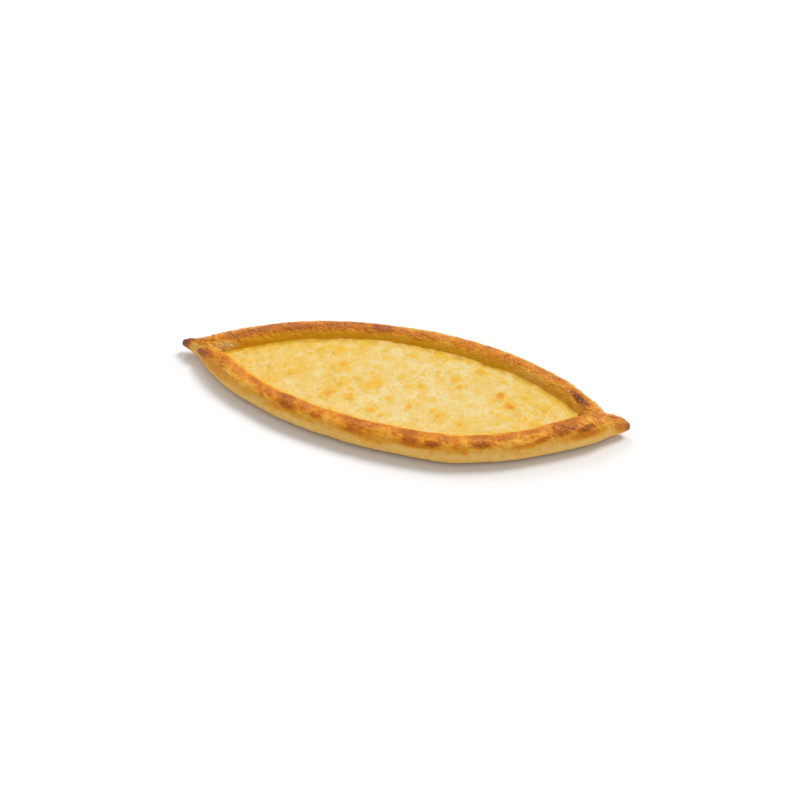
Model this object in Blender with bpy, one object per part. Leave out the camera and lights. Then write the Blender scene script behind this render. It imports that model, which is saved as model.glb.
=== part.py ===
"""Turkish pide: a boat of baked dough with two rolled rims, filled with melted cheese.

The model is in metres, +Z up. It rests on the plane z = 0 with the middle of its
outline on the origin, and it is longest along X. The near rim lies on the -Y side.

crust   one closed dough solid: a flat sheet whose two long edges are rolled inwards.
        The far roll runs out into the raised tip at -X and is tucked away at +X.
        The near roll starts with a blunt nose at -X and runs out into the tip at +X.
cheese  the filling, poured level between the rolls.
"""

import bpy
import numpy as np

MM = 0.001

# A roll is a chain of balls along a smooth path. A station holds the ball's
# centre x, y, z and its radius, in millimetres.
FAR_ROLL = (
    (-171.0, -2.4, 8.6, 3.0),
    (-163.5, -3.2, 9.2, 5.6),
    (-155.5, -4.2, 9.7, 7.8),
    (-145.0, -0.5, 10.0, 9.6),
    (-130.0, 8.5, 10.1, 10.5),
    (-106.0, 24.0, 9.9, 10.4),
    (-72.0, 39.5, 9.5, 9.7),
    (-28.0, 49.8, 9.3, 9.6),
    (20.0, 51.4, 9.3, 9.7),
    (64.0, 46.0, 9.3, 9.5),
    (100.0, 34.5, 9.2, 9.2),
    (126.0, 20.5, 9.2, 9.4),
    (143.0, 8.0, 9.0, 9.2),
    (153.0, 0.5, 8.2, 8.0),
)
NEAR_ROLL = (
    (-152.5, -8.8, 8.7, 5.5),
    (-144.0, -13.4, 9.4, 8.0),
    (-128.5, -23.2, 9.5, 9.4),
    (-102.0, -37.6, 9.2, 9.2),
    (-66.0, -50.4, 9.2, 9.4),
    (-24.0, -58.2, 9.1, 9.4),
    (20.0, -60.7, 9.2, 9.4),
    (58.0, -57.8, 9.3, 9.5),
    (90.0, -47.6, 9.4, 9.6),
    (114.0, -35.0, 9.6, 9.8),
    (134.0, -21.6, 10.2, 10.6),
    (148.0, -11.6, 10.3, 10.5),
    (158.0, -4.6, 9.7, 8.6),
    (166.0, -0.8, 8.8, 6.2),
    (173.2, 1.0, 7.8, 2.5),
)

BASE_THICKNESS = 4.0  # the flat dough sheet under the filling
MERGE_SOFTNESS = 2.2  # how softly one roll flows into the other and into the sheet
CONTACT_SOFTNESS = 1.6  # how softly the underside turns up from the plate
PATH_STEPS = 90  # straight steps along a roll's path

NOSE_START = -161.5  # where the near roll's nose begins to leave the far roll
NOSE_END = -152.5
TUCK_START = 146.0  # where the far roll begins to go under the near roll
TUCK_END = 160.0
OPENING_BLEND = 7.0  # overlap or gap of the rolls at which the boat is shut or open

RING_COUNT = 62
NOSE_RING_SPACING = 1.6
FAN_RAYS = 13  # rays that turn round a roll, from straight down over the outside
VALLEY_RAYS = 9  # rays between the two rolls, upwards
SOLE_RAYS = 5  # rays between the two rolls, downwards
INSIDE_TURN = 103.0  # degrees that the fan turns past upright into the open boat
CAST_STEPS = 60

CHEESE_LEVEL = 12.0  # the filling's edge above the plate
CHEESE_CROWN = 0.6  # how much its middle stands above its edge
CHEESE_WAVE = 0.25  # how far its top rises and falls
CHEESE_WAVE_LENGTHS = (61.0, 37.0)  # along and across the boat
CHEESE_GAP = 0.45  # clearance between filling and dough
CHEESE_CUT_WIDTH = 2.6  # its lower edge is cut off, clear of the dough's soft corner
CHEESE_CUT_HEIGHT = 4.2
CHEESE_WALL_HEIGHT = 8.0  # height at which the dough's walls bound it
CHEESE_START = -129.5
CHEESE_END = 134.5
CHEESE_RINGS = 40
CHEESE_TOP_POINTS = 10
CHEESE_SOLE_POINTS = 4

CRUST_COLOUR = (0.68, 0.30, 0.06, 1.0)
CHEESE_COLOUR = (0.87, 0.62, 0.22, 1.0)


def smooth_path(stations, steps):
    """Return steps + 1 balls on a Catmull-Rom curve through the stations.

    Between two stations the curve is the cubic whose end slopes are half the
    distance from the station before to the station after.
    """
    points = np.array(stations)
    before = 2 * points[0] - points[1]
    after = 2 * points[-1] - points[-2]
    points = np.vstack([before, points, after])
    position = np.linspace(0, len(stations) - 1, steps + 1)
    index = np.minimum(position.astype(int), len(stations) - 2)
    t = (position - index)[:, None]
    p0, p1, p2, p3 = (points[index + offset] for offset in range(4))
    slope_1 = (p2 - p0) / 2
    slope_2 = (p3 - p1) / 2
    return (
        (2 * t**3 - 3 * t**2 + 1) * p1
        + (t**3 - 2 * t**2 + t) * slope_1
        + (3 * t**2 - 2 * t**3) * p2
        + (t**3 - t**2) * slope_2
    )


FAR_PATH = smooth_path(FAR_ROLL, PATH_STEPS)
NEAR_PATH = smooth_path(NEAR_ROLL, PATH_STEPS)


def path_at(path, x):
    """Return the path's y, z and half width along Y where it passes each x.

    The half width is the radius, stretched because the path crosses x at a slant.
    """
    slant = np.gradient(path[:, 1], path[:, 0])
    half_width = path[:, 3] * np.sqrt(1 + slant**2)
    return [np.interp(x, path[:, 0], values) for values in (path[:, 1], path[:, 2], half_width)]


def ease(value, low, high):
    """Return a smooth step from 0 at low to 1 at high."""
    t = np.clip((value - low) / (high - low), 0.0, 1.0)
    return t * t * (3 - 2 * t)


def between_ends(x):
    """Return 1 where both rolls run side by side, easing to 0 towards either tip."""
    from_nose = ease(x, NOSE_END, NOSE_END + OPENING_BLEND)
    from_tuck = ease(x, TUCK_START - OPENING_BLEND, TUCK_START)
    return from_nose * (1 - from_tuck)


def smooth_least(a, b, softness):
    """Return the smaller of two distances, rounded off where they are close."""
    overlap = np.maximum(softness - np.abs(a - b), 0.0)
    return np.minimum(a, b) - overlap**2 / (4 * softness)


def roll_distance(points, path, inside):
    """Return the distance of points to the skin of a roll, negative within it.

    The roll is the union of balls that grow evenly between neighbours on the path.
    On the inside of the boat the skin drops straight down from the ball's middle.

    Args:
        points: array of x, y, z rows.
        path: array of x, y, z, radius rows.
        inside: +1 where the boat's inside lies at larger y than the roll, else -1.
    """
    x, y, z = points.T
    middle, height, _ = path_at(path, x)
    drop = np.maximum(height - z, 0) * between_ends(x)
    lifted = points.copy()
    lifted[:, 2] += np.where((y - middle) * inside > 0, drop, 0)
    start = path[:-1, :3]
    step = path[1:, :3] - start
    offset = lifted[:, None, :] - start[None, :, :]
    share = np.einsum("pse,se->ps", offset, step) / np.einsum("se,se->s", step, step)
    share = np.clip(share, 0.0, 1.0)
    nearest = offset - share[:, :, None] * step[None, :, :]
    radius = path[:-1, 3] + share * np.diff(path[:, 3])
    return (np.linalg.norm(nearest, axis=2) - radius).min(axis=1)


def crust_distance(points):
    """Return the distance of points to the crust's skin, negative in the dough."""
    x, y, z = points.T
    near = roll_distance(points, NEAR_PATH, 1)
    far = roll_distance(points, FAR_PATH, -1)
    sheet_sides = (
        z - BASE_THICKNESS,
        path_at(NEAR_PATH, x)[0] - y,
        y - path_at(FAR_PATH, x)[0],
        NOSE_END - x,
        x - TUCK_START,
    )
    sheet = np.max(sheet_sides, axis=0)
    rolls = smooth_least(near, far, MERGE_SOFTNESS)
    dough = smooth_least(rolls, sheet, MERGE_SOFTNESS)
    return -smooth_least(-dough, z, CONTACT_SOFTNESS)


def ring_positions():
    """Return the x of each cross-section, closer together at the tips and nose."""
    left = FAR_ROLL[0][0] - FAR_ROLL[0][3]
    right = NEAR_ROLL[-1][0] + NEAR_ROLL[-1][3]
    turn = np.linspace(0, np.pi, RING_COUNT + 2)
    even = left + (right - left) * (1 - np.cos(turn[1:-1])) / 2
    nose = np.arange(NOSE_START, NOSE_END, NOSE_RING_SPACING)
    outside = even[(even < NOSE_START - NOSE_RING_SPACING / 2) | (even > NOSE_END)]
    return np.sort(np.concatenate([outside, nose]))


def ray_group(x, y, z, across, upwards):
    """Return origins and directions, each of shape (cross-sections, rays, 3)."""
    y, z, across, upwards, x = np.broadcast_arrays(y, z, across, upwards, x[:, None])
    return np.stack([x, y, z], axis=2), np.stack([0 * x, across, upwards], axis=2)


def ring_rays(x):
    """Return the origins and directions of the rays that find each cross-section's skin.

    The rays fan round the near roll, from straight down over its outside to its top,
    stand upright along the valley between the rolls, fan round the far roll from its
    top to straight down, and come back pointing down along the sole. Where the boat is
    open each fan turns on, down the roll's inside to the floor.
    """
    near_y, near_z, near_width = path_at(NEAR_PATH, x)
    far_y, far_z, far_width = path_at(FAR_PATH, x)
    nose = ease(x, NOSE_START, NOSE_END)
    tuck = 1 - ease(x, TUCK_START, TUCK_END)
    near_y = far_y + nose * (near_y - far_y)
    near_z = far_z + nose * (near_z - far_z)
    far_y = near_y + tuck * (far_y - near_y)
    far_z = near_z + tuck * (far_z - near_z)

    gap = far_y - near_y - near_width - far_width
    opened = ease(gap, -OPENING_BLEND, OPENING_BLEND)
    turned_in = np.radians(INSIDE_TURN) * opened
    angle = (np.pi + turned_in)[:, None] * np.linspace(0, 1, FAN_RAYS)
    across = np.sin(angle)
    upwards = -np.cos(angle)
    near_fan = ray_group(x, near_y[:, None], near_z[:, None], -across, upwards)
    far_fan = ray_group(x, far_y[:, None], far_z[:, None], across[:, ::-1], upwards[:, ::-1])

    reach = np.sin(np.minimum(turned_in, np.pi / 2))
    clear = MERGE_SOFTNESS * ease(gap, MERGE_SOFTNESS, OPENING_BLEND)
    first_y = near_y + near_width * reach + clear
    last_y = far_y - far_width * reach - clear
    inset = (1 - opened)[:, None] / (VALLEY_RAYS + 1)
    share = inset + (1 - 2 * inset) * np.linspace(0, 1, VALLEY_RAYS)
    closed_z = near_z[:, None] + share * (far_z - near_z)[:, None]
    valley_y = first_y[:, None] + share * (last_y - first_y)[:, None]
    valley_z = closed_z + opened[:, None] * (BASE_THICKNESS / 2 - closed_z)
    valley = ray_group(x, valley_y, valley_z, 0.0, 1.0)

    share = np.linspace(1, 0, SOLE_RAYS + 2)[1:-1]
    sole_y = near_y[:, None] + share * (far_y - near_y)[:, None]
    closed_z = near_z[:, None] + share * (far_z - near_z)[:, None]
    sole_z = closed_z + opened[:, None] * (BASE_THICKNESS / 2 - closed_z)
    sole = ray_group(x, sole_y, sole_z, 0.0, -1.0)

    groups = (near_fan, valley, far_fan, sole)
    origins = np.concatenate([group[0] for group in groups], axis=1)
    directions = np.concatenate([group[1] for group in groups], axis=1)
    return origins, directions


def walk(origins, directions, room):
    """Move each point along its ray until the room left, a function of points, is zero.

    Every step is as long as the room left, so no step can overshoot.
    """
    shape = origins.shape
    points = origins.reshape(-1, 3).copy()
    directions = directions.reshape(-1, 3)
    for _ in range(CAST_STEPS):
        points += directions * room(points)[:, None]
    return points.reshape(shape)


def loft(rings, first_pole, last_pole):
    """Return the vertices and faces of a closed skin through rings, shut at two poles.

    Args:
        rings: array of shape (rings, points, 3), each ring running the same way round.
        first_pole: point that closes the first ring with a fan of triangles.
        last_pole: point that closes the last ring.
    """
    count, around = rings.shape[:2]
    grid = np.arange(count * around).reshape(count, around)
    beside = np.roll(grid, -1, axis=1)
    quads = np.stack([grid[:-1], grid[1:], beside[1:], beside[:-1]], axis=2).reshape(-1, 4)
    first = count * around
    last = first + 1
    start_fan = np.stack([np.full(around, first), grid[0], beside[0]], axis=1)
    end_fan = np.stack([np.full(around, last), beside[-1], grid[-1]], axis=1)
    vertices = np.vstack([rings.reshape(-1, 3), first_pole, last_pole])
    return vertices, quads.tolist() + start_fan.tolist() + end_fan.tolist()


def build_crust():
    """Return the vertices and faces of the dough boat, in millimetres."""
    x = ring_positions()
    origins, directions = ring_rays(x)
    rings = walk(origins, directions, lambda points: -crust_distance(points))
    left_tip = FAR_PATH[0, :3] - (FAR_PATH[0, 3], 0, 0)
    right_tip = NEAR_PATH[-1, :3] + (NEAR_PATH[-1, 3], 0, 0)
    return loft(rings, left_tip, right_tip)


def wall_reach(x, y, side):
    """Return the y at which a level ray from inside the boat comes near its wall."""
    start = np.stack([x, y, np.full_like(x, CHEESE_WALL_HEIGHT)], axis=1)
    direction = np.zeros_like(start)
    direction[:, 1] = side
    return walk(start, direction, lambda points: crust_distance(points) - CHEESE_GAP)[:, 1]


def build_cheese():
    """Return the vertices and faces of the filling, in millimetres.

    Each cross-section runs along the top from the near wall to the far wall and back
    along the floor of the boat, with its two lower corners cut off.
    """
    turn = np.linspace(0, np.pi, CHEESE_RINGS)
    x = CHEESE_START + (CHEESE_END - CHEESE_START) * (1 - np.cos(turn)) / 2
    near_y, _, near_width = path_at(NEAR_PATH, x)
    far_y, _, far_width = path_at(FAR_PATH, x)
    middle = (near_y + near_width + far_y - far_width) / 2
    near_wall = wall_reach(x, middle, -1)[:, None]
    far_wall = wall_reach(x, middle, 1)[:, None]
    width = far_wall - near_wall

    share = np.linspace(0, 1, CHEESE_TOP_POINTS)
    top_y = near_wall + width * share
    along, across = CHEESE_WAVE_LENGTHS
    wave = np.sin(2 * np.pi * x[:, None] / along) * np.sin(2 * np.pi * top_y / across)
    crown = 4 * share * (1 - share)
    top_z = CHEESE_LEVEL + crown * (CHEESE_CROWN + CHEESE_WAVE * wave)

    cut = np.minimum(CHEESE_CUT_WIDTH, width / 3)
    floor = BASE_THICKNESS + CHEESE_GAP
    back = np.linspace(1, 0, CHEESE_SOLE_POINTS)
    sole_y = near_wall + cut + (width - 2 * cut) * back
    sole_z = np.full_like(sole_y, floor)
    corner_z = np.full_like(near_wall, floor + CHEESE_CUT_HEIGHT)
    ring_y = np.hstack([top_y, far_wall, sole_y, near_wall])
    ring_z = np.hstack([top_z, corner_z, sole_z, corner_z])
    ring_x = np.broadcast_to(x[:, None], ring_y.shape)
    rings = np.stack([ring_x, ring_y, ring_z], axis=2)
    return loft(rings, rings[0].mean(axis=0), rings[-1].mean(axis=0))


def make_material(name, colour, roughness):
    """Return a Principled material of one colour."""
    material = bpy.data.materials.new(name)
    material.use_nodes = True
    shader = material.node_tree.nodes["Principled BSDF"]
    shader.inputs["Base Color"].default_value = colour
    shader.inputs["Roughness"].default_value = roughness
    shader.inputs["Metallic"].default_value = 0.0
    return material


def make_node(name, vertices, faces, material):
    """Add a smooth-shaded mesh object, turning its vertices from millimetres to metres."""
    mesh = bpy.data.meshes.new(name)
    mesh.from_pydata((vertices * MM).tolist(), [], faces)
    mesh.materials.append(material)
    mesh.shade_smooth()
    mesh.validate()
    thing = bpy.data.objects.new(name, mesh)
    bpy.context.scene.collection.objects.link(thing)
    return thing


def main():
    """Build the two solids, with the crust's outline centred on the origin."""
    for thing in list(bpy.data.objects):
        bpy.data.objects.remove(thing, do_unlink=True)
    crust_vertices, crust_faces = build_crust()
    cheese_vertices, cheese_faces = build_cheese()
    middle = (crust_vertices.min(axis=0) + crust_vertices.max(axis=0)) / 2
    middle[2] = crust_vertices[:, 2].min()
    baked = make_material("baked_crust", CRUST_COLOUR, 0.45)
    melted = make_material("melted_cheese", CHEESE_COLOUR, 0.35)
    make_node("crust", crust_vertices - middle, crust_faces, baked)
    make_node("cheese", cheese_vertices - middle, cheese_faces, melted)


main()
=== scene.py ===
"""The looks of a turkish pide: a baked dough boat with rolled rims, filled with melted cheese.

Lengths inside the shape classes are in millimetres, in the dough's own working frame.
DoughBoat.settle() brings them to metres and onto the middle of the CAD crust's box.
"""

import logging
from dataclasses import dataclass, field
from enum import Enum
from typing import Any, Callable

import bpy
import numpy as np
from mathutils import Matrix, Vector


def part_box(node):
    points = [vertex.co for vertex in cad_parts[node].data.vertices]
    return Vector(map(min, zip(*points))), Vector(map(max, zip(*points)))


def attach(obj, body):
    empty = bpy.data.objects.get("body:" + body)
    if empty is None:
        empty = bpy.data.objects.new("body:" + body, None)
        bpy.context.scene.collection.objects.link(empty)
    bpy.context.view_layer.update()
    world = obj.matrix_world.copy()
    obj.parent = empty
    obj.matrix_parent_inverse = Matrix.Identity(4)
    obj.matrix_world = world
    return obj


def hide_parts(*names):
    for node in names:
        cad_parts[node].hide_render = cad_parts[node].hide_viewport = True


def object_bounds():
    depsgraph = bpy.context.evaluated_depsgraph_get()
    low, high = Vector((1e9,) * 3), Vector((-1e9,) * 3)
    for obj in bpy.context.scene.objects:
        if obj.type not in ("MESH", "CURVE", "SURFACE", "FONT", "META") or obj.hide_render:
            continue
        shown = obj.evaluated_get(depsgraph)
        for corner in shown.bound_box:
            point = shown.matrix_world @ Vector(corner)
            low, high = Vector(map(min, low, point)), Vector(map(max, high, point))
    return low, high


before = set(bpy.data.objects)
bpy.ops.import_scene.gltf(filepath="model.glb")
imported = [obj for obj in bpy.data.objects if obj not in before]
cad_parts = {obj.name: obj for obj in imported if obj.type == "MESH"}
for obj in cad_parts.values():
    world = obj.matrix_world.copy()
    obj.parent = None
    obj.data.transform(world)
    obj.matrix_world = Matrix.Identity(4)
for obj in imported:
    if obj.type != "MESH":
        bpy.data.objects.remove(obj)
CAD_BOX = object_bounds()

LOG = logging.getLogger("pide")
Array = np.ndarray
Colour = tuple[float, float, float, float]


class Side(Enum):
    """Which rim a point belongs to: the value is the sign of the boat's outside in Y."""

    NEAR = -1
    FAR = 1


def ease(value: Array, low: float, high: float) -> Array:
    """Return a smooth step of the value, 0 at low and 1 at high: 3t^2 - 2t^3."""
    t = np.clip((value - low) / (high - low), 0.0, 1.0)
    return t * t * (3 - 2 * t)


def smooth_least(a: Array, b: Array, softness: float) -> Array:
    """Return the smaller of two distances, rounded off where they are close."""
    overlap = np.maximum(softness - np.abs(a - b), 0.0)
    return np.minimum(a, b) - overlap**2 / (4 * softness)


@dataclass(frozen=True)
class Noise:
    """Repeatable randomness in space, from tables of random values on a cube lattice."""

    seed: int
    cells: int = 32

    def smooth(self, points: Array, size: float) -> Array:
        """Return smooth random heights from -1 to 1.

        Formula: the eight lattice values round a point are blended by smooth steps.

        Args:
            points: rows of x, y, z.
            size: edge of a lattice cube, in the points' unit; three numbers stretch it.

        Returns:
            One height for each row.
        """
        table = np.random.default_rng(self.seed).uniform(-1, 1, (self.cells,) * 3)
        scaled = points / size
        corner = np.floor(scaled).astype(int)
        t = scaled - corner
        t = t * t * (3 - 2 * t)
        total = np.zeros(len(points))
        for step in np.ndindex(2, 2, 2):
            step = np.array(step)
            index = (corner + step) % self.cells
            weight = np.prod(np.where(step == 1, t, 1 - t), axis=1)
            total += weight * table[index[:, 0], index[:, 1], index[:, 2]]
        return total

    def layered(self, points: Array, size: float, layers: int = 3) -> Array:
        """Return smooth noise summed over layers, each half the size and weight of the last."""
        total = np.zeros(len(points))
        for layer in range(layers):
            share = 0.5**layer
            total += share * Noise(self.seed + 17 * layer).smooth(points, size * share)
        return total

    def domes(self, points: Array, size: float, fill: float = 0.6) -> Array:
        """Return the height, 0 to 1, of round domes scattered one to a lattice cube.

        Formula: 1 - (distance / radius)^2 over the nearest dome, where a dome's centre
        and radius are random in its cube and a share of the cubes stays empty.

        Args:
            points: rows of x, y, z.
            size: edge of a lattice cube.
            fill: the share of cubes that hold a dome.

        Returns:
            One height for each row.
        """
        rng = np.random.default_rng(self.seed)
        centres = rng.uniform(0, 1, (self.cells,) * 3 + (3,))
        radii = rng.uniform(0.3, 0.75, (self.cells,) * 3)
        radii = radii * (rng.uniform(0, 1, radii.shape) < fill) + 1e-6
        scaled = points / size
        corner = np.floor(scaled).astype(int)
        best = np.zeros(len(points))
        for step in np.ndindex(3, 3, 3):
            cell = corner + np.array(step) - 1
            i, j, k = (cell % self.cells).T
            gap = np.linalg.norm(cell + centres[i, j, k] - scaled, axis=1)
            best = np.maximum(best, 1 - (gap / radii[i, j, k]) ** 2)
        return best


@dataclass(frozen=True)
class Roll:
    """A rolled rim: a chain of balls on a smooth path.

    A station holds a ball's centre x, y, z and its radius.
    """

    side: Side
    stations: tuple[tuple[float, float, float, float], ...]
    steps: int = 90
    reach: int = 6

    def path(self) -> Array:
        """Return rows of x, y, z, radius on a Catmull-Rom curve through the stations.

        Formula: between two stations the curve is the cubic whose end slopes are half
        the distance from the station before to the station after.
        """
        points = np.array(self.stations)
        points = np.vstack([2 * points[0] - points[1], points, 2 * points[-1] - points[-2]])
        position = np.linspace(0, len(self.stations) - 1, self.steps + 1)
        index = np.minimum(position.astype(int), len(self.stations) - 2)
        t = (position - index)[:, None]
        p0, p1, p2, p3 = (points[index + offset] for offset in range(4))
        return (
            (2 * t**3 - 3 * t**2 + 1) * p1
            + (t**3 - 2 * t**2 + t) * (p2 - p0) / 2
            + (3 * t**2 - 2 * t**3) * p2
            + (t**3 - t**2) * (p3 - p1) / 2
        )

    def at(self, x: Array) -> tuple[Array, Array, Array]:
        """Return the path's y, z and half width along Y where it passes each x."""
        path = self.path()
        slant = np.gradient(path[:, 1], path[:, 0])
        half_width = path[:, 3] * np.sqrt(1 + slant**2)
        y, z, width = (np.interp(x, path[:, 0], v) for v in (path[:, 1], path[:, 2], half_width))
        return y, z, width

    def distance(self, points: Array, drop: Array) -> Array:
        """Return the distance of points to the roll's skin, negative within it.

        Formula: the least, over the stretches of the path near a point, of the distance
        to the stretch less its radius there. A point on the boat's inside and below the
        path is first lifted by drop, so the skin falls straight down on that side.

        Args:
            points: rows of x, y, z.
            drop: how much of the way up to the path each point is lifted, 0 to 1.

        Returns:
            One distance for each row.
        """
        path = self.path()
        middle, height, _ = self.at(points[:, 0])
        inside = (points[:, 1] - middle) * self.side.value < 0
        lifted = points.copy()
        lifted[:, 2] += np.where(inside, np.maximum(height - points[:, 2], 0) * drop, 0)
        start, step = path[:-1, :3], np.diff(path[:, :3], axis=0)
        nearest = np.searchsorted(path[:, 0], points[:, 0])
        window = nearest[:, None] + np.arange(-self.reach, self.reach)
        window = np.clip(window, 0, len(start) - 1)
        offset = lifted[:, None, :] - start[window]
        share = (offset * step[window]).sum(axis=2) / (step**2).sum(axis=1)[window]
        share = np.clip(share, 0, 1)
        gap = np.linalg.norm(offset - share[:, :, None] * step[window], axis=2)
        radius = path[:-1, 3][window] + share * np.diff(path[:, 3])[window]
        return (gap - radius).min(axis=1)

    def turn(self, points: Array) -> Array:
        """Return each point's angle round the roll in degrees.

        It is 0 at the outermost line, 90 on the crest, 180 facing into the boat and
        negative under the outer side.
        """
        y, z, width = self.at(points[:, 0])
        path = self.path()
        narrow = np.interp(points[:, 0], path[:, 0], path[:, 3]) / width
        outwards = (points[:, 1] - y) * self.side.value * narrow
        angle = np.degrees(np.arctan2(points[:, 2] - z, outwards))
        return np.where(angle < -120, angle + 360, angle)


FAR_ROLL = Roll(
    Side.FAR,
    (
        (-171.0, -2.4, 8.6, 3.0),
        (-163.5, -3.2, 9.2, 5.6),
        (-155.5, -4.2, 9.7, 7.8),
        (-145.0, -0.5, 10.0, 9.6),
        (-130.0, 8.5, 10.1, 10.5),
        (-106.0, 24.0, 9.9, 10.4),
        (-72.0, 39.5, 9.5, 9.7),
        (-28.0, 49.8, 9.3, 9.6),
        (20.0, 51.4, 9.3, 9.7),
        (64.0, 46.0, 9.3, 9.5),
        (100.0, 34.5, 9.2, 9.2),
        (126.0, 20.5, 9.2, 9.4),
        (143.0, 8.0, 9.0, 9.2),
        (153.0, 0.5, 8.2, 8.0),
    ),
)
NEAR_ROLL = Roll(
    Side.NEAR,
    (
        (-152.5, -8.8, 8.7, 5.5),
        (-144.0, -13.4, 9.4, 8.0),
        (-128.5, -23.2, 9.5, 9.4),
        (-102.0, -37.6, 9.2, 9.2),
        (-66.0, -50.4, 9.2, 9.4),
        (-24.0, -58.2, 9.1, 9.4),
        (20.0, -60.7, 9.2, 9.4),
        (58.0, -57.8, 9.3, 9.5),
        (90.0, -47.6, 9.4, 9.6),
        (114.0, -35.0, 9.6, 9.8),
        (134.0, -21.6, 10.2, 10.6),
        (148.0, -11.6, 10.3, 10.5),
        (158.0, -4.6, 9.7, 8.6),
        (166.0, -0.8, 8.8, 6.2),
        (173.2, 1.0, 7.8, 2.5),
    ),
)


def loft(rings: Array, first_pole: Array, last_pole: Array) -> tuple[Array, list[list[int]]]:
    """Join rings of points into one closed skin, shut by a point at each end.

    Args:
        rings: array of shape (rings, points, 3), each ring running the same way round.
        first_pole: the point that closes the first ring.
        last_pole: the point that closes the last ring.

    Returns:
        The vertices and the faces.
    """
    count, around = rings.shape[:2]
    grid = np.arange(count * around).reshape(count, around)
    beside = np.roll(grid, -1, axis=1)
    quads = np.stack([grid[:-1], grid[1:], beside[1:], beside[:-1]], axis=2).reshape(-1, 4)
    first, last = count * around, count * around + 1
    start_fan = np.stack([np.full(around, first), grid[0], beside[0]], axis=1)
    end_fan = np.stack([np.full(around, last), beside[-1], grid[-1]], axis=1)
    vertices = np.vstack([rings.reshape(-1, 3), first_pole, last_pole])
    return vertices, quads.tolist() + start_fan.tolist() + end_fan.tolist()


def ring_normals(rings: Array) -> Array:
    """Return the outward direction at each ring point: the cross product of its two slopes."""
    along = np.gradient(rings, axis=0)
    around = np.roll(rings, -1, axis=1) - np.roll(rings, 1, axis=1)
    normal = np.cross(along, around)
    length = np.linalg.norm(normal, axis=2, keepdims=True)
    return normal / np.maximum(length, 1e-12)


def add_piece(
    name: str, vertices: Array, faces: list[list[int]], layers: dict[str, Array]
) -> bpy.types.Object:
    """Put a smooth-shaded mesh with its value layers into the scene.

    Args:
        name: the piece's name.
        vertices: rows of x, y, z in metres.
        faces: vertex numbers of each face.
        layers: one number for each vertex, by the name that the material reads.

    Returns:
        The new object, which sits at the origin.
    """
    mesh = bpy.data.meshes.new(name)
    mesh.from_pydata(vertices.tolist(), [], faces)
    for layer, values in layers.items():
        attribute = mesh.attributes.new(layer, "FLOAT", "POINT")
        attribute.data.foreach_set("value", np.asarray(values, np.float32))
    mesh.shade_smooth()
    piece = bpy.data.objects.new(name, mesh)
    bpy.context.scene.collection.objects.link(piece)
    return piece


@dataclass(frozen=True)
class Blotch:
    """A browned patch on a roll: its middle, its half lengths and how dark it is."""

    side: Side
    x: float
    turn: float
    length: float
    spread: float
    strength: float


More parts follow.
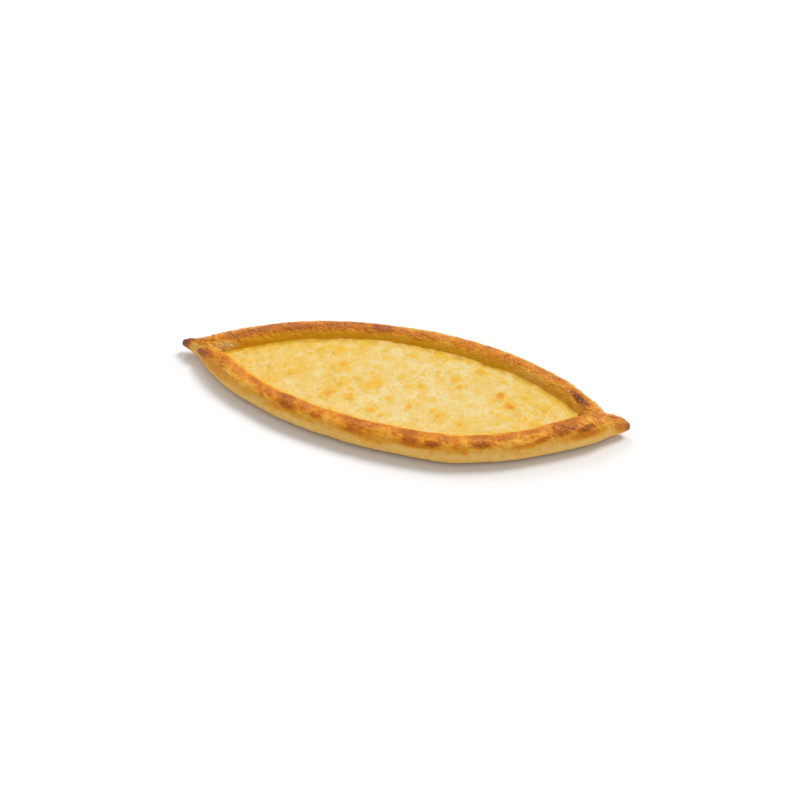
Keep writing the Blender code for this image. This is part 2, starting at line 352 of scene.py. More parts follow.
@dataclass
class DoughBoat:
    """The crust: two rolls run together over a flat sheet of dough."""

    near: Roll = NEAR_ROLL
    far: Roll = FAR_ROLL
    sheet: float = 4.0
    softness: float = 1.7
    contact: float = 1.6
    nose: tuple[float, float] = (-161.5, -152.5)
    tuck: tuple[float, float] = (146.0, 160.0)
    blend: float = 7.0
    rings: int = 430
    fan: int = 84
    valley: int = 32
    sole: int = 12
    inside_turn: float = 103.0
    casts: int = 80
    middle: Array = field(default_factory=lambda: np.zeros(3))
    scale: Array = field(default_factory=lambda: np.ones(3))

    def distance(self, points: Array) -> Array:
        """Return the distance of points to the dough's skin, negative in the dough.

        Formula: the smooth least of the two rolls and the sheet between their paths,
        cut off flat and softly at the plane that the boat rests on.
        """
        x, y, z = points.T
        drop = ease(x, self.nose[1], self.nose[1] + self.blend)
        drop = drop * (1 - ease(x, self.tuck[0] - self.blend, self.tuck[0]))
        near = self.near.distance(points, drop)
        far = self.far.distance(points, drop)
        sides = (
            z - self.sheet,
            self.near.at(x)[0] - y,
            y - self.far.at(x)[0],
            self.nose[1] - x,
            x - self.tuck[0],
        )
        dough = smooth_least(near, far, self.softness)
        dough = smooth_least(dough, np.max(sides, axis=0), self.softness)
        return -smooth_least(-dough, z, self.contact)

    def walk(self, origins: Array, directions: Array, room: Callable[[Array], Array]) -> Array:
        """Move points along their rays until the room left is nothing.

        Args:
            origins: array whose last axis is x, y, z.
            directions: unit rays of the same shape.
            room: gives the room left at rows of points; no step is longer than that.

        Returns:
            The points reached, in the shape of origins.
        """
        points = origins.reshape(-1, 3).copy()
        rays = directions.reshape(-1, 3)
        busy = np.arange(len(points))
        for _ in range(self.casts):
            step = room(points[busy])
            points[busy] += rays[busy] * step[:, None]
            busy = busy[np.abs(step) > 0.003]
            if len(busy) == 0:
                break
        return points.reshape(origins.shape)

    def ring_x(self) -> Array:
        """Return the x of each cross-section, evenly spaced but closer at the tips."""
        left = self.far.stations[0][0] - self.far.stations[0][3]
        right = self.near.stations[-1][0] + self.near.stations[-1][3]
        t = np.linspace(0, 1, self.rings + 2)[1:-1]
        share = 0.72 * t + 0.28 * (1 - np.cos(np.pi * t)) / 2
        return left + (right - left) * share

    def rays(self, x: Array) -> tuple[Array, Array]:
        """Return the origins and directions of the rays that find each cross-section's skin.

        They fan round the near roll from straight down over its outside, stand upright
        along the valley, fan round the far roll and point down along the sole. Where the
        boat is open each fan turns on, down the roll's inside to the floor. An upright ray
        starts from the roll's path or from within the sheet, whichever is deeper in dough.
        """
        near_y, near_z, near_width = self.near.at(x)
        far_y, far_z, far_width = self.far.at(x)
        nose = ease(x, *self.nose)
        tuck = 1 - ease(x, *self.tuck)
        near_y, near_z = far_y + nose * (near_y - far_y), far_z + nose * (near_z - far_z)
        far_y, far_z = near_y + tuck * (far_y - near_y), near_z + tuck * (far_z - near_z)
        gap = far_y - near_y - near_width - far_width
        opened = ease(gap, -self.blend, self.blend)
        turned = np.radians(self.inside_turn) * opened
        angle = (np.pi + turned)[:, None] * np.linspace(0, 1, self.fan)
        reach = np.sin(np.minimum(turned, np.pi / 2))
        clear = self.softness * ease(gap, self.softness, self.blend)
        first = near_y + near_width * reach + clear
        last = far_y - far_width * reach - clear
        inset = (1 - opened)[:, None] / (self.valley + 1)
        share = inset + (1 - 2 * inset) * np.linspace(0, 1, self.valley)
        back = np.linspace(1, 0, self.sole + 2)[1:-1] + 0 * inset

        def group(y: Array, part: Array, across: Array, upwards: Array) -> tuple[Array, Array]:
            """Return rays of one kind; part is how far each stands from near to far roll."""
            z = near_z[:, None] + part * (far_z - near_z)[:, None]
            parts = np.broadcast_arrays(x[:, None], y, z, across, upwards)
            zero = np.zeros_like(parts[0])
            return np.stack(parts[:3], axis=2), np.stack([zero, *parts[3:]], axis=2)

        zero, one = np.zeros_like(inset), np.ones_like(inset)
        fan_y, fan_z = np.sin(angle), -np.cos(angle)
        fan_y[:, 0] += 1e-9
        groups = (
            group(near_y[:, None], zero, -fan_y, fan_z),
            group(first[:, None] + share * (last - first)[:, None], share, 0 * share, one),
            group(far_y[:, None], one, fan_y[:, ::-1], fan_z[:, ::-1]),
            group(near_y[:, None] + back * (far_y - near_y)[:, None], back, 0 * back, -one),
        )
        origins, directions = (np.concatenate([g[i] for g in groups], axis=1) for i in range(2))
        lowered = origins.copy()
        lowered[:, :, 2] = self.sheet / 2
        deeper = self.distance(lowered.reshape(-1, 3)) < self.distance(origins.reshape(-1, 3))
        upright = directions[:, :, 1] == 0
        use = (deeper.reshape(upright.shape) & upright)[:, :, None]
        return np.where(use, lowered, origins), directions

    def skin(self) -> Array:
        """Return the rings of points on the dough's plain skin."""
        origins, directions = self.rays(self.ring_x())
        return self.walk(origins, directions, lambda points: -self.distance(points))

    def roll_place(self, points: Array) -> tuple[Array, Array]:
        """Return for each point whether it is on the near roll, and its angle round its roll."""
        full = np.ones(len(points))
        on_near = self.near.distance(points, full) < self.far.distance(points, full)
        return on_near, np.where(on_near, self.near.turn(points), self.far.turn(points))

    def settle(self, points: Array) -> Array:
        """Return points in metres, on the middle of the CAD crust's box and to its size."""
        return (points - self.middle) * self.scale

    def fit(self, points: Array) -> None:
        """Work out middle and scale, so that these points fill the CAD crust's box."""
        low, high = (np.array(corner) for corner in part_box("crust"))
        lowest, highest = points.min(axis=0), points.max(axis=0)
        self.scale = (high - low) / (highest - lowest)
        self.middle = lowest - low / self.scale


BLOTCHES = (
    Blotch(Side.NEAR, -134, 28, 24, 30, 0.42),
    Blotch(Side.NEAR, -8, 42, 15, 13, 0.58),
    Blotch(Side.NEAR, 38, 42, 19, 14, 0.60),
    Blotch(Side.NEAR, 108, 38, 11, 13, 0.50),
    Blotch(Side.NEAR, 146, 32, 13, 22, 0.60),
    Blotch(Side.NEAR, -152, 48, 7, 26, 0.84),
    Blotch(Side.NEAR, -143, 68, 8, 20, 0.74),
    Blotch(Side.NEAR, -127, 98, 9, 24, 0.64),
    Blotch(Side.NEAR, -110, 100, 7, 18, 0.60),
    Blotch(Side.NEAR, -95, 106, 7, 26, 0.70),
    Blotch(Side.NEAR, -62, 60, 11, 25, 0.80),
    Blotch(Side.NEAR, -65, 106, 9, 28, 0.77),
    Blotch(Side.NEAR, -39, 65, 6, 20, 0.72),
    Blotch(Side.NEAR, -13, 100, 8, 32, 0.76),
    Blotch(Side.NEAR, -9, 61, 9, 22, 0.75),
    Blotch(Side.NEAR, 30, 100, 9, 30, 0.77),
    Blotch(Side.NEAR, 32, 59, 9, 20, 0.78),
    Blotch(Side.NEAR, 47, 57, 7, 15, 0.85),
    Blotch(Side.NEAR, 56, 84, 9, 20, 0.66),
    Blotch(Side.NEAR, 77, 104, 8, 22, 0.74),
    Blotch(Side.NEAR, 80, 62, 9, 20, 0.79),
    Blotch(Side.NEAR, 94, 88, 7, 17, 0.70),
    Blotch(Side.NEAR, 110, 98, 7, 16, 0.72),
    Blotch(Side.NEAR, 118, 50, 6, 13, 0.70),
    Blotch(Side.NEAR, 132, 67, 11, 24, 0.80),
    Blotch(Side.NEAR, 134, 102, 7, 20, 0.72),
    Blotch(Side.NEAR, 146, 53, 8, 16, 0.84),
    Blotch(Side.FAR, -127, 110, 13, 22, 0.74),
    Blotch(Side.FAR, -110, 92, 9, 18, 0.76),
    Blotch(Side.FAR, -95, 112, 8, 18, 0.72),
    Blotch(Side.FAR, -84, 104, 10, 22, 0.78),
    Blotch(Side.FAR, -58, 98, 13, 20, 0.76),
    Blotch(Side.FAR, -36, 104, 7, 16, 0.66),
    Blotch(Side.FAR, -21, 101, 9, 25, 0.81),
    Blotch(Side.FAR, 2, 108, 8, 16, 0.64),
    Blotch(Side.FAR, 16, 100, 8, 16, 0.62),
    Blotch(Side.FAR, 41, 105, 9, 16, 0.60),
    Blotch(Side.FAR, 65, 96, 9, 16, 0.60),
    Blotch(Side.FAR, 106, 82, 8, 20, 0.68),
    Blotch(Side.FAR, 120, 84, 8, 22, 0.68),
    Blotch(Side.FAR, 137, 98, 11, 34, 0.74),
    Blotch(Side.FAR, 137, 106, 7, 22, 0.95),
    Blotch(Side.FAR, -135, 150, 9, 26, 0.02),
)


@dataclass
class Crust:
    """The visible dough: the boat's skin with its lumps, blisters and browning."""

    boat: DoughBoat
    lump_size: float = 30.0
    lump_height: float = 0.45
    dent_size: float = 9.0
    dent_height: float = 0.28
    wrinkle_size: tuple[float, float, float] = (6.0, 2.4, 2.4)
    wrinkle_depth: float = 0.42
    blister_size: float = 4.4
    blister_height: float = 0.50
    pimple_size: float = 2.2
    pimple_height: float = 0.36
    left_tip: tuple[float, float] = (-159.0, -170.5)
    right_tip: tuple[float, float] = (162.0, 175.0)
    crease: tuple[float, float, float] = (157.5, 1.3, 0.55)
    # Heights in mm of the dark foot band, where it ends and where it is full: partly browned bottom
    # crust, partly painted shade where the roll meets the floor.
    under: tuple[float, float] = (5.5, 0.5)

    def glaze(self, points: Array, turn: Array) -> Array:
        """Return how much egg wash each point carries: most on the crests and the ends."""
        band = ease(turn, 10, 60) * (1 - ease(turn, 135, 170))
        ends = ease(np.abs(points[:, 0]), 95, 140)
        patches = 0.5 + 0.6 * Noise(5).layered(points, 20.0, 3)
        return band * np.clip(0.3 + 0.5 * ends + 0.6 * patches, 0, 1)

    def relief(self, points: Array, turn: Array, glaze: Array) -> Array:
        """Return how far each point stands off the plain skin.

        Formula: long lumps and dents everywhere, and on the glazed parts ridged wrinkles
        along the roll, blisters and pimples. A crease runs round the root of the right
        tip. All of it fades out near the resting plane.
        """
        lumps = self.lump_height * Noise(11).layered(points, self.lump_size, 2)
        dents = self.dent_height * Noise(12).layered(points, self.dent_size, 3)
        ridges = 1 - np.abs(Noise(13).layered(points, np.array(self.wrinkle_size), 2))
        wrinkles = -self.wrinkle_depth * np.clip(ridges, 0, 1) ** 4
        blisters = self.blister_height * Noise(14).domes(points, self.blister_size, 0.5)
        pimples = self.pimple_height * Noise(15).domes(points, self.pimple_size, 0.7)
        skin = glaze * (wrinkles + blisters * (0.3 + 0.7 * glaze) + pimples - 0.1)
        where, width, depth = self.crease
        bent = points[:, 0] - where + 1.5 * np.sin(points[:, 1] / 4)
        skin = skin - depth * np.exp(-((bent / width) ** 2)) * ease(turn, 10, 50)
        low = ease(points[:, 2], 0.3, 4.0)
        crest = 1 - 0.65 * ease(points[:, 2], 17.0, 20.5)
        return low * (lumps * crest + dents + skin)

    def tips(self, points: Array) -> Array:
        """Return 0 to 1 as a point nears the end of either tip."""
        x = points[:, 0]
        return np.maximum(ease(-x, -self.left_tip[0], -self.left_tip[1]), ease(x, *self.right_tip))

    def bake(self, points: Array, on_near: Array, turn: Array) -> Array:
        """Return how browned each point is, 0 for pale dough to 1 for nearly burnt.

        Formula: a golden band over the crest, broken up by smooth noise. Each blotch then
        draws the level towards its own within a soft oval of ragged outline, and both
        tips are drawn towards brown.
        """
        ragged = Noise(21).layered(points, 7.0, 3)
        slow = Noise(22).layered(points, 24.0, 2)
        fine = Noise(23).layered(points, 2.8, 2)
        edge = turn + 13 * ragged + 8 * slow + 5 * fine
        rising = 0.60 * ease(edge, 4, 44) + 0.58 * ease(edge, 50, 90)
        x = points[:, 0]
        paler = ~on_near * np.maximum(ease(x, 40, 110), ease(-x, 118, 136))
        falling = 1 - (0.35 + 0.35 * paler) * ease(edge, 105, 145)
        browner = ~on_near * (1 - ease(x, -40, 15)) * ease(x, -146, -128)
        level = 0.36 + 0.13 * browner - 0.05 * paler + 0.08 * slow
        bake = 0.12 + level * rising * falling
        bake = bake + (0.25 + 0.75 * rising) * (0.15 * ragged + 0.12 * fine)
        for blotch in BLOTCHES:
            same = on_near if blotch.side is Side.NEAR else ~on_near
            along = (x - blotch.x) / blotch.length
            across = (turn - blotch.turn) / blotch.spread
            far_out = np.hypot(along, across) * (1 + 0.35 * ragged + 0.15 * fine) + 0.15 * slow
            mark = same * (1 - ease(far_out, 0.35, 1.15)) * (1.0 + 0.25 * ragged + 0.2 * fine)
            bake = bake + (blotch.strength - bake) * np.clip(mark, 0, 1)
        tips = self.tips(points) * np.clip(0.85 + 0.3 * ragged, 0, 1)
        darkest = np.where(x < 0, 0.93, 0.82)
        return np.clip(bake + (darkest - bake) * tips, 0, 1)

    def build(self) -> bpy.types.Object:
        """Make the crust piece, with value layers for its material.

        Returns:
            The piece, fitted to the CAD crust's box.
        """
        rings = self.boat.skin()
        normals = ring_normals(rings).reshape(-1, 3)
        points = rings.reshape(-1, 3)
        on_near, turn = self.boat.roll_place(points)
        self.boat.fit(points)
        glaze = self.glaze(points, turn)
        relief = self.relief(points, turn, glaze)
        moved = points + normals * relief[:, None]
        moved[:, 2] = np.maximum(moved[:, 2], 0)
        bake = self.bake(points, on_near, turn)
        inner = ease(turn, 118, 150) * (1 - self.tips(points)) * ease(points[:, 2], 6, 11)
        inner = inner * ease(points[:, 0], -130, -118) * (1 - 0.6 * ease(points[:, 0], 60, 120))
        oil = inner * np.where(on_near, 0.6, 1.0)
        # The foot band: darker low down, partly the browned bottom crust and partly painted shade
        # under the roll's outer side.
        foot_bake_and_shade = 1 - ease(points[:, 2], self.under[1], self.under[0])
        rings = moved.reshape(rings.shape)
        poles = [rings[end].mean(axis=0) for end in (0, -1)]
        vertices, faces = loft(rings, *poles)
        layers = {"bake": bake, "glaze": glaze, "oil": oil, "tip": self.tips(points), "foot_bake_and_shade": foot_bake_and_shade}
        layers = {name: np.append(values, values[[0, -1]]) for name, values in layers.items()}
        return add_piece("crust_skin", self.boat.settle(vertices), faces, layers)


@dataclass(frozen=True)
class Spot:
    """A browned blister in the cheese: its middle, its radius and how golden it is."""

    x: float
    y: float
    radius: float
    strength: float


SPOTS = (
    Spot(-40, 4, 5.0, 0.62),
    Spot(-40, -30, 5.0, 0.78),
    Spot(-35, -18, 3.6, 0.62),
    Spot(-24, -30, 3.0, 0.80),
    Spot(-23, -10, 3.0, 0.42),
    Spot(-14, -14, 5.0, 0.50),
    Spot(-8, -10, 5.5, 0.56),
    Spot(-74, -15, 3.0, 0.48),
    Spot(-87, -30, 4.5, 0.42),
    Spot(-49, 20, 7.0, 0.42),
    Spot(-34, 29, 5.5, 0.36),
    Spot(-62, 17, 4.0, 0.32),
    Spot(-12, 20, 4.0, 0.34),
    Spot(4, -23, 3.2, 0.45),
    Spot(-4, -39, 4.2, 0.66),
    Spot(4, -42, 3.2, 0.46),
    Spot(13, -7, 2.6, 0.40),
    Spot(7, 1, 3.2, 0.30),
    Spot(23, -5, 3.2, 0.62),
    Spot(21, -28, 3.2, 0.58),
    Spot(35, -16, 4.0, 0.36),
    Spot(43, -32, 3.2, 0.56),
    Spot(38, -28, 2.8, 0.50),
    Spot(60, -36, 2.8, 0.62),
    Spot(45, 10, 4.6, 0.58),
    Spot(51, 3, 3.2, 0.62),
    Spot(8, 28, 3.2, 0.46),
    Spot(26, 35, 4.6, 0.50),
    Spot(62, 25, 4.6, 0.70),
    Spot(81, 18, 2.4, 0.52),
    Spot(82, 3, 4.4, 0.95),
    Spot(91, -8, 4.4, 1.00),
    Spot(99, 4, 3.4, 0.50),
    Spot(115, -5, 3.4, 0.62),
    Spot(87, -21, 4.5, 0.32),
    Spot(114, -21, 3.0, 0.52),
    Spot(112, 16, 3.6, 0.42),
)


@dataclass
class Cheese:
    """The filling: melted shreds run together, domed where they blistered and browned."""

    boat: DoughBoat
    start: float = -135.0
    end: float = 138.5
    level: float = 11.9
    crown: float = 0.5
    sink: float = 0.9
    rings: int = 470
    across: int = 176
    sole: int = 6
    floor: float = 5.0
    swell_size: float = 17.0
    swell_height: float = 0.35
    clump_size: float = 6.0
    clump_height: float = 0.30
    shred_size: tuple[float, float, float] = (5.5, 1.7, 3.0)
    shred_height: float = 0.12
    climb_width: float = 2.6
    climb: float = 0.7

    def walls(self, x: Array) -> tuple[Array, Array]:
        """Return the y at which the filling meets the near and the far wall.

        It is found by level rays from the boat's middle line, which run on a little
        way into the dough so that no gap shows.
        """
        near_y, _, near_width = self.boat.near.at(x)
        far_y, _, far_width = self.boat.far.at(x)
        middle = (near_y + near_width + far_y - far_width) / 2
        origins = np.stack([x, middle, np.full_like(x, self.level)], axis=1)
        found = []
        for side in Side:
            rays = np.zeros_like(origins)
            rays[:, 1] = side.value
            reached = self.boat.walk(origins, rays, lambda p: self.boat.distance(p) + self.sink)
            found.append(side.value * np.maximum(side.value * (reached[:, 1] - middle), 0.02) + middle)
        return found[0], found[1]

    def shreds(self, points: Array) -> Array:
        """Return the relief of half-melted shreds: long ridges that lie in three directions."""
        total = np.zeros(len(points))
        for number, degrees in enumerate((15.0, 75.0, 140.0)):
            c, s = np.cos(np.radians(degrees)), np.sin(np.radians(degrees))
            turned = points @ np.array([[c, -s, 0], [s, c, 0], [0, 0, 1.0]])
            strands = Noise(31 + number).layered(turned, np.array(self.shred_size), 2)
            total = np.maximum(total, 1 - np.abs(strands) * 2.4)
        return total

    def blisters(self, x: Array, y: Array) -> tuple[Array, Array, Array]:
        """Return the blisters' dome height, browning and yellow halo at places on the top."""
        flat = np.stack([x, y, 0 * x], axis=1)
        ragged = Noise(41).layered(flat, 4.0, 3)
        fine = Noise(49).layered(flat, 1.8, 2)
        medium = Noise(42).domes(flat + 3.0, 7.0, 0.30)
        small = Noise(43).domes(flat + 9.0, 4.2, 0.36) + 0.35 * ragged
        specks = Noise(40).domes(flat + 5.0, 2.7, 0.24)
        left = 1 - ease(x, -115, -70)
        right = ease(x, 85, 120)
        where = np.clip(0.45 + 0.9 * Noise(44).layered(flat, 22.0, 2) + 0.6 * left, 0, 1)
        dome = 0.35 * medium + 0.30 * np.clip(small, 0, 1) + 0.15 * specks
        gold = 0.30 * where * ease(medium + 0.3 * ragged, 0.1, 0.9)
        gold = np.maximum(gold, (0.56 + 0.1 * left) * where**0.5 * ease(small, 0.30, 0.65))
        gold = np.maximum(gold, (0.36 + 0.15 * right) * ease(specks, 0.15, 0.45))
        halo = np.zeros_like(x)
        for spot in SPOTS:
            gap = np.hypot(x - spot.x, y - spot.y) / (1.15 * spot.radius)
            halo = np.maximum(halo, spot.strength * np.exp(-((gap * (1 + 0.3 * ragged)) ** 2) / 2))
            mark = np.clip(1.05 - (gap * (1 + 0.5 * ragged + 0.15 * fine)) ** 2, 0, 1)
            dome = np.maximum(dome, mark**0.7 * (0.4 + 0.5 * spot.strength))
            inside = spot.strength * (0.50 + 0.65 * mark + 0.25 * ragged + 0.25 * fine)
            gold = np.maximum(gold, inside * ease(mark, 0.0, 0.9))
        return dome, np.clip(gold, 0, 1), halo

    def build(self) -> bpy.types.Object:
        """Make the cheese piece, with value layers for its material."""
        turn = np.linspace(0, 1, self.rings)
        share_x = 0.7 * turn + 0.3 * (1 - np.cos(np.pi * turn)) / 2
        x = self.start + (self.end - self.start) * share_x
        near_wall, far_wall = (wall[:, None] for wall in self.walls(x))
        width = far_wall - near_wall
        share = np.linspace(0, 1, self.across)
        share = 0.8 * share + 0.2 * (1 - np.cos(np.pi * share)) / 2
        top_y = near_wall + width * share
        top_x = np.broadcast_to(x[:, None], top_y.shape)
        place_x, place_y = top_x.ravel(), top_y.ravel()
        flat = np.stack([place_x, place_y, 0 * place_x], axis=1)

        to_near, to_far = (width * share).ravel(), (width * (1 - share)).ravel()
        edge_noise = Noise(45).layered(flat, 7.0, 3)
        near_climb = np.exp(-((to_near / self.climb_width) ** 2)) * (0.8 + 0.5 * edge_noise)
        far_out = np.maximum(to_far + 2.2 * edge_noise, 0)
        far_edge = np.exp(-((far_out / (self.climb_width * 1.2)) ** 2))
        far_climb = far_edge * (0.2 + 0.3 * edge_noise)
        trough = np.exp(-(((to_far - 3.6) / 2.4) ** 2)) * np.clip(0.35 - 0.5 * edge_noise, 0, 1)
        dome, gold, halo = self.blisters(place_x, place_y)
        swell = self.swell_height * Noise(46).layered(flat, self.swell_size, 2)
        clumps = self.clump_height * Noise(47).layered(flat, self.clump_size, 3)
        shreds = self.shreds(flat)
        crown = np.broadcast_to(self.crown * 4 * share * (1 - share), top_y.shape).ravel()
        calm = 0.2 + 0.8 * ease(to_far, 1.0, 8.0)
        rise = crown + swell + calm * (clumps + self.shred_height * shreds + 0.5 * dome)
        rise = rise + self.climb * (near_climb + far_climb) - 0.9 * trough
        top_z = (self.level + rise).reshape(top_y.shape)

        back = np.linspace(1, 0, self.sole)
        sole_y = near_wall + width * (0.04 + 0.92 * back)
        ring_y = np.hstack([top_y, sole_y])
        ring_z = np.hstack([top_z, np.full_like(sole_y, self.floor)])
        ring_x = np.broadcast_to(x[:, None], ring_y.shape)
        rings = np.stack([ring_x, ring_y, ring_z], axis=2)
        poles = [rings[end].mean(axis=0) for end in (0, -1)]
        vertices, faces = loft(rings, *poles)

        mottle = 0.17 + 0.26 * Noise(48).layered(flat, 7.0, 3) + 0.50 * np.clip(shreds, 0, 1) ** 7
        ends = 1 - ease(place_x, -112, 30) + 0.5 * ease(place_x, 80, 125)
        sides = np.exp(-((to_near / 4.0) ** 2)) + 0.8 * np.exp(-((far_out / 7.0) ** 2))
        yellow = np.clip(mottle + 0.30 * ends + 0.35 * sides + 0.5 * halo, 0, 1)
        # Oil layer: oil on the cheese at the far edge and in its trough, with painted shade there, a
        # dark olive line where the cheese meets the far wall; a wider band of it towards both ends.
        oil_and_shade_at_ends = ease(np.abs(place_x + 5), 60, 110)
        wide_oil_and_shade = np.exp(-((far_out / (2.4 * self.climb_width)) ** 2)) * 0.9 * oil_and_shade_at_ends
        oily = np.clip(1.3 * far_edge + 1.2 * trough + wide_oil_and_shade, 0, 1)
        layers = {"gold": gold, "yellow": yellow, "oil": oily}
        padded = {}
        for name, values in layers.items():
            values = values.reshape(top_y.shape)
            whole = np.hstack([values, np.zeros_like(sole_y)]).ravel()
            padded[name] = np.append(whole, [0.0, 0.0])
        return add_piece("cheese_filling", self.boat.settle(vertices), faces, padded)


class Graph:
    """The node tree of a material or a world, with one method that adds any node."""

    def __init__(self, owner: Any, shader: str = "Principled BSDF") -> None:
        """Turn on the nodes of a material or world, and find its shader node."""
        owner.use_nodes = True
        self.owner = owner
        self.tree = owner.node_tree
        self.shader = self.tree.nodes[shader]

    def node(self, kind: str, settings: dict[str, Any], inputs: dict[Any, Any]) -> Any:
        """Add a node.

        Args:
            kind: the node's type name.
            settings: its own settings, set first; "stops" are a ramp's positions and colours.
            inputs: a value, a Value or a socket for each input, by name or number.

        Returns:
            The node.
        """
        node = self.tree.nodes.new(kind)
        for name, setting in settings.items():
            if name == "stops":
                self._set_stops(node.color_ramp, setting)
            else:
                setattr(node, name, setting)
        for key, given in inputs.items():
            self.put(node.inputs[key], given)
        return node

    def _set_stops(self, ramp: Any, stops: tuple[tuple[float, Colour], ...]) -> None:
        """Give a ramp its positions and colours."""
        while len(ramp.elements) < len(stops):
            ramp.elements.new(1.0)
        for element, (position, colour) in zip(ramp.elements, stops):
            element.position = position
            element.color = colour

    def put(self, socket: Any, given: Any) -> None:
        """Link a socket to what is given, or set its value."""
        given = given.socket if isinstance(given, Value) else given
        if isinstance(given, bpy.types.NodeSocket):
            self.tree.links.new(given, socket)
        else:
            socket.default_value = given

    def shade(self, inputs: dict[str, Any]) -> Any:
        """Give the shader its inputs and return the material or world."""
        for name, given in inputs.items():
            self.put(self.shader.inputs[name], given)
        return self.owner

    def layer(self, name: str) -> "Value":
        """Read one of the piece's value layers."""
        node = self.node("ShaderNodeAttribute", {"attribute_name": name}, {})
        return Value(self, node.outputs["Fac"])

    def place(self) -> Any:
        """Return the Object coordinates, in metres."""
        return self.node("ShaderNodeTexCoord", {}, {}).outputs["Object"]

    def noise(self, size: float, detail: float = 3.0, rough: float = 0.55) -> "Value":
        """Return smooth noise from 0 to 1 whose features are about the size in metres."""
        inputs = {"Vector": self.place(), "Scale": 1 / size, "Detail": detail, "Roughness": rough}
        return Value(self, self.node("ShaderNodeTexNoise", {}, inputs).outputs["Fac"])

    def cells(self, size: float) -> "Value":
        """Return the distance to the middle of the nearest of cells of the size in metres."""
        inputs = {"Vector": self.place(), "Scale": 1 / size}
        return Value(self, self.node("ShaderNodeTexVoronoi", {}, inputs).outputs["Distance"])

    def ramp(self, value: "Value", stops: tuple[tuple[float, Colour], ...]) -> Any:
        """Return the colour that a value picks between stops."""
        node = self.node("ShaderNodeValToRGB", {"stops": stops}, {"Fac": value})
        return node.outputs["Color"]

    def mix(self, share: Any, first: Any, second: Any, blend: str = "MIX") -> Any:
        """Return the first colour with a share of the second blended in."""
        settings = {"data_type": "RGBA", "blend_type": blend, "clamp_factor": True}
        node = self.node("ShaderNodeMix", settings, {0: share, 6: first, 7: second})
        return node.outputs[2]

    def bump(self, height: "Value", distance: float, strength: float) -> Any:
        """Return the shading direction over small relief that is distance metres high."""
        inputs = {"Height": height, "Distance": distance, "Strength": strength}
        return self.node("ShaderNodeBump", {}, inputs).outputs["Normal"]


class Value:
    """A number on a shader socket, with arithmetic that adds Math nodes."""

    def __init__(self, graph: Graph, socket: Any) -> None:
        """Wrap a socket of a graph."""
        self.graph = graph
        self.socket = socket

    def _math(self, operation: str, first: Any, second: Any = 0.0) -> "Value":
        """Add a Math node of two inputs."""
        node = self.graph.node("ShaderNodeMath", {"operation": operation}, {0: first, 1: second})
        return Value(self.graph, node.outputs[0])

    def __add__(self, other: Any) -> "Value":
        """Return self + other."""
        return self._math("ADD", self, other)

    def __radd__(self, other: Any) -> "Value":
        """Return other + self."""
        return self._math("ADD", other, self)

    def __sub__(self, other: Any) -> "Value":
        """Return self - other."""
        return self._math("SUBTRACT", self, other)

    def __rsub__(self, other: Any) -> "Value":
        """Return other - self."""
        return self._math("SUBTRACT", other, self)

    def __mul__(self, other: Any) -> "Value":
        """Return self * other."""
        return self._math("MULTIPLY", self, other)

    def __rmul__(self, other: Any) -> "Value":
        """Return other * self."""
        return self._math("MULTIPLY", other, self)

    def held(self, low: float = 0.0, high: float = 1.0) -> "Value":
        """Return the value kept between low and high."""
        return self._math("MINIMUM", self._math("MAXIMUM", self, low), high)


@dataclass(frozen=True)
class CrustFinish:
    """Baked dough: pale low down but darker at the very foot, partly browned bottom crust and partly
    painted shade; golden to brown on top, with a broken egg-wash gloss.
    """

    slot: str = "baked_crust"
    stops: tuple[tuple[float, Colour], ...] = (
        (0.00, (0.88, 0.60, 0.23, 1)),
        (0.12, (0.88, 0.52, 0.125, 1)),
        (0.34, (0.85, 0.375, 0.028, 1)),
        (0.50, (0.76, 0.255, 0.008, 1)),
        (0.65, (0.60, 0.160, 0.004, 1)),
        (0.80, (0.40, 0.088, 0.003, 1)),
        (0.90, (0.26, 0.055, 0.006, 1)),
        (1.00, (0.13, 0.034, 0.014, 1)),
    )
    oily: Colour = (0.83, 0.43, 0.005, 1)
    fleck: Colour = (0.40, 0.13, 0.02, 1)
    ash: Colour = (0.20, 0.075, 0.035, 1)
    # Dark brown of the foot band: browned bottom crust with painted shade.
    foot_bake_and_shade: Colour = (0.34, 0.19, 0.06, 1)
    gloss: Colour = (1.0, 0.64, 0.24, 1)
    roughness: float = 0.60

    def build(self) -> bpy.types.Material:
        """Return the material."""
        graph = Graph(bpy.data.materials.new(self.slot))
        names = ("bake", "glaze", "oil", "tip", "foot_bake_and_shade")
        bake, glaze, oil, tip, foot_bake_and_shade = (graph.layer(name) for name in names)
        cloud, grain, dust = graph.noise(0.005), graph.noise(0.0016, 4), graph.noise(0.0006, 2)
        browned = bake + (cloud - 0.5) * 0.30 + (grain - 0.5) * 0.22
        colour = graph.ramp(browned.held(), self.stops)
        colour = graph.mix((oil * (0.75 + (cloud - 0.5))).held(), colour, self.oily)
        pores = ((0.20 - graph.cells(0.0026)) * 5.0).held() * (cloud * 1.4 - 0.45).held()
        colour = graph.mix(pores * 0.5, colour, self.fleck)
        colour = graph.mix(((bake - 0.72) * 2.2).held() * tip * 0.8, colour, self.ash)
        # Painted shade, together with the browned bottom crust, darkens the foot near the floor.
        colour = graph.mix((foot_bake_and_shade * (0.5 + cloud * 0.5)).held(), colour, self.foot_bake_and_shade)
        shine = (glaze * (cloud * 2.0 - 0.3)).held()
        rough = self.roughness - shine * 0.42 + (grain - 0.5) * 0.1
        height = grain * 0.3 + dust * 0.1 + graph.noise(0.0030, 3) * 2.8
        relief = height * (0.4 + glaze * 1.3)
        inputs = {
            "Base Color": colour,
            "Roughness": rough.held(0.16, 0.9),
            "Coat Weight": shine * 0.20,
            "Coat Roughness": 0.09,
            "Specular IOR Level": 0.70,
            "Specular Tint": self.gloss,
            "Normal": graph.bump(relief, 0.0006, 0.9),
        }
        return graph.shade(inputs)


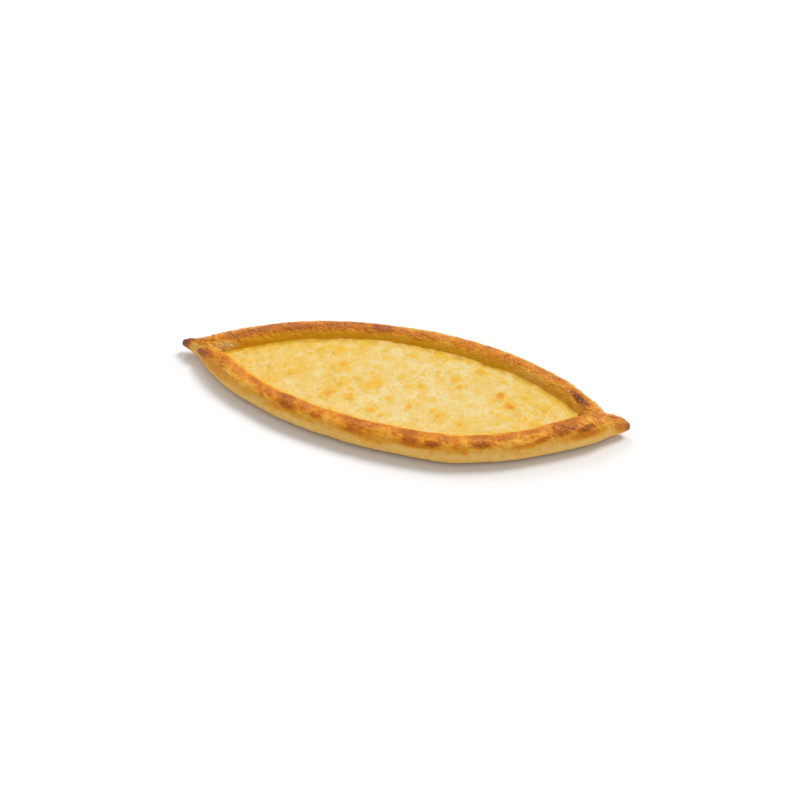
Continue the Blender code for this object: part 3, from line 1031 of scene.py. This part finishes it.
@dataclass(frozen=True)
class CheeseFinish:
    """Melted cheese: cream, mottled yellow between the shreds, gold on its blisters."""

    slot: str = "melted_cheese"
    stops: tuple[tuple[float, Colour], ...] = (
        (0.00, (0.80, 0.63, 0.275, 1)),
        (0.30, (0.79, 0.57, 0.185, 1)),
        (0.60, (0.78, 0.505, 0.08, 1)),
        (1.00, (0.76, 0.425, 0.02, 1)),
    )
    amber: Colour = (0.81, 0.475, 0.02, 1)
    gold: Colour = (0.81, 0.365, 0.004, 1)
    toasted: Colour = (0.72, 0.225, 0.002, 1)
    # Dark olive of the far edge: cheese oil with painted shade at the foot of the far wall.
    oily: Colour = (0.64, 0.34, 0.01, 1)
    fleck: Colour = (0.68, 0.44, 0.03, 1)
    roughness: float = 0.36

    def build(self) -> bpy.types.Material:
        """Return the material."""
        graph = Graph(bpy.data.materials.new(self.slot))
        gold, yellow, oil = (graph.layer(name) for name in ("gold", "yellow", "oil"))
        cloud, curd, grain = (graph.noise(size, 3) for size in (0.006, 0.0028, 0.0013))
        tone = yellow + (cloud - 0.5) * 0.35 + (curd - 0.5) * 0.55 + (grain - 0.5) * 0.40
        colour = graph.ramp(tone.held(), self.stops)
        browned = (gold * (0.8 + grain * 0.4)).held()
        colour = graph.mix((browned * 2.0).held(), colour, self.amber)
        colour = graph.mix(((browned - 0.36) * 1.9).held(), colour, self.gold)
        colour = graph.mix(((browned - 0.72) * 2.6).held(), colour, self.toasted)
        flecks = ((graph.noise(0.0021, 2) - 0.57) * 9.0).held() * (cloud * 1.6 - 0.3).held()
        colour = graph.mix(flecks * 0.75, colour, self.fleck)
        # Oil and painted shade darken the cheese along the far wall.
        colour = graph.mix((oil * (0.5 + cloud * 0.7)).held(0, 0.92), colour, self.oily)
        rough = self.roughness + (grain - 0.5) * 0.2 + oil * 0.1 + gold * 0.05
        height = grain * 0.4 + curd * 0.8
        inputs = {
            "Base Color": colour,
            "Roughness": rough.held(0.15, 0.8),
            "Specular IOR Level": 0.32,
            "Normal": graph.bump(height, 0.0004, 0.5),
        }
        return graph.shade(inputs)


@dataclass(frozen=True)
class Lamp:
    """A distant lamp: where its light comes from, its strength and its angular width."""

    name: str
    source: tuple[float, float, float]
    strength: float
    width: float

    def place(self) -> None:
        """Put the lamp into the scene."""
        light = bpy.data.lights.new(self.name, "SUN")
        light.energy = self.strength
        light.angle = self.width
        lamp = bpy.data.objects.new(self.name, light)
        lamp.rotation_euler = Vector(self.source).to_track_quat("Z", "Y").to_euler()
        bpy.context.scene.collection.objects.link(lamp)


@dataclass
class Studio:
    """Plain white surroundings: floor, soft light from behind and above, and the camera."""

    sky: float = 0.52
    lamps: tuple[Lamp, ...] = (
        Lamp("key", (0.55, 0.75, 1.15), 1.75, 0.36),
        Lamp("second", (-0.40, 0.85, 1.00), 0.60, 0.40),
    )
    floor_colour: Colour = (0.93, 0.93, 0.93, 1)
    floor_roughness: float = 0.9
    floor_size: float = 6.0
    lens: float = 36.0
    azimuth: float = 16.56
    elevation: float = 42.03
    distance: float = 0.58806
    aim: tuple[float, float, float] = (11.40, -19.40, 9.0)

    def light(self) -> None:
        """Add the sky, which the camera sees as white, and the lamps."""
        world = bpy.data.worlds.new("studio")
        bpy.context.scene.world = world
        graph = Graph(world, "Background")
        path = graph.node("ShaderNodeLightPath", {}, {}).outputs["Is Camera Ray"]
        levels = {"Value": path, "To Min": self.sky, "To Max": 1.0}
        strength = graph.node("ShaderNodeMapRange", {}, levels).outputs["Result"]
        graph.shade({"Color": (1, 1, 1, 1), "Strength": strength})
        for lamp in self.lamps:
            lamp.place()

    def floor(self, height: float) -> None:
        """Lay the plain pale floor at a height."""
        half = self.floor_size / 2
        corners = [(-half, -half, height), (half, -half, height)]
        corners += [(half, half, height), (-half, half, height)]
        mesh = bpy.data.meshes.new("floor")
        mesh.from_pydata(corners, [], [(0, 1, 2, 3)])
        graph = Graph(bpy.data.materials.new("floor"))
        inputs = {"Base Color": self.floor_colour, "Roughness": self.floor_roughness}
        mesh.materials.append(graph.shade(inputs))
        plane = bpy.data.objects.new("floor", mesh)
        bpy.context.scene.collection.objects.link(plane)

    def camera(self, boat: DoughBoat) -> None:
        """Add the camera, which looks down on the boat from its near rim."""
        turn, rise = np.radians(self.azimuth), np.radians(self.elevation)
        back = Vector((np.sin(turn) * np.cos(rise), -np.cos(turn) * np.cos(rise), np.sin(rise)))
        lens = bpy.data.cameras.new("camera")
        lens.lens = self.lens
        lens.sensor_width = self.lens
        lens.clip_start = 0.01
        eye = bpy.data.objects.new("camera", lens)
        eye.location = Vector(boat.settle(np.array(self.aim))) + back * self.distance
        eye.rotation_euler = back.to_track_quat("Z", "Y").to_euler()
        bpy.context.scene.collection.objects.link(eye)
        bpy.context.scene.camera = eye


def dress(piece: bpy.types.Object, node: str, finish: CrustFinish | CheeseFinish) -> None:
    """Give a piece its finish, set it to ride on the body and to stand for its CAD node."""
    piece.data.materials.append(finish.build())
    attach(piece, "root")
    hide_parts(node)
    LOG.info("%s: %d faces", piece.name, len(piece.data.polygons))


def main() -> None:
    """Build the pide's two pieces and the studio, in order."""
    logging.basicConfig(level=logging.INFO, format="%(name)s: %(message)s")
    bpy.context.scene.view_settings.view_transform = "Standard"
    boat = DoughBoat()
    dress(Crust(boat).build(), "crust", CrustFinish())
    dress(Cheese(boat).build(), "cheese", CheeseFinish())
    studio = Studio()
    studio.light()
    studio.floor(CAD_BOX[0].z)
    studio.camera(boat)


if __name__ == "__main__":
    main()
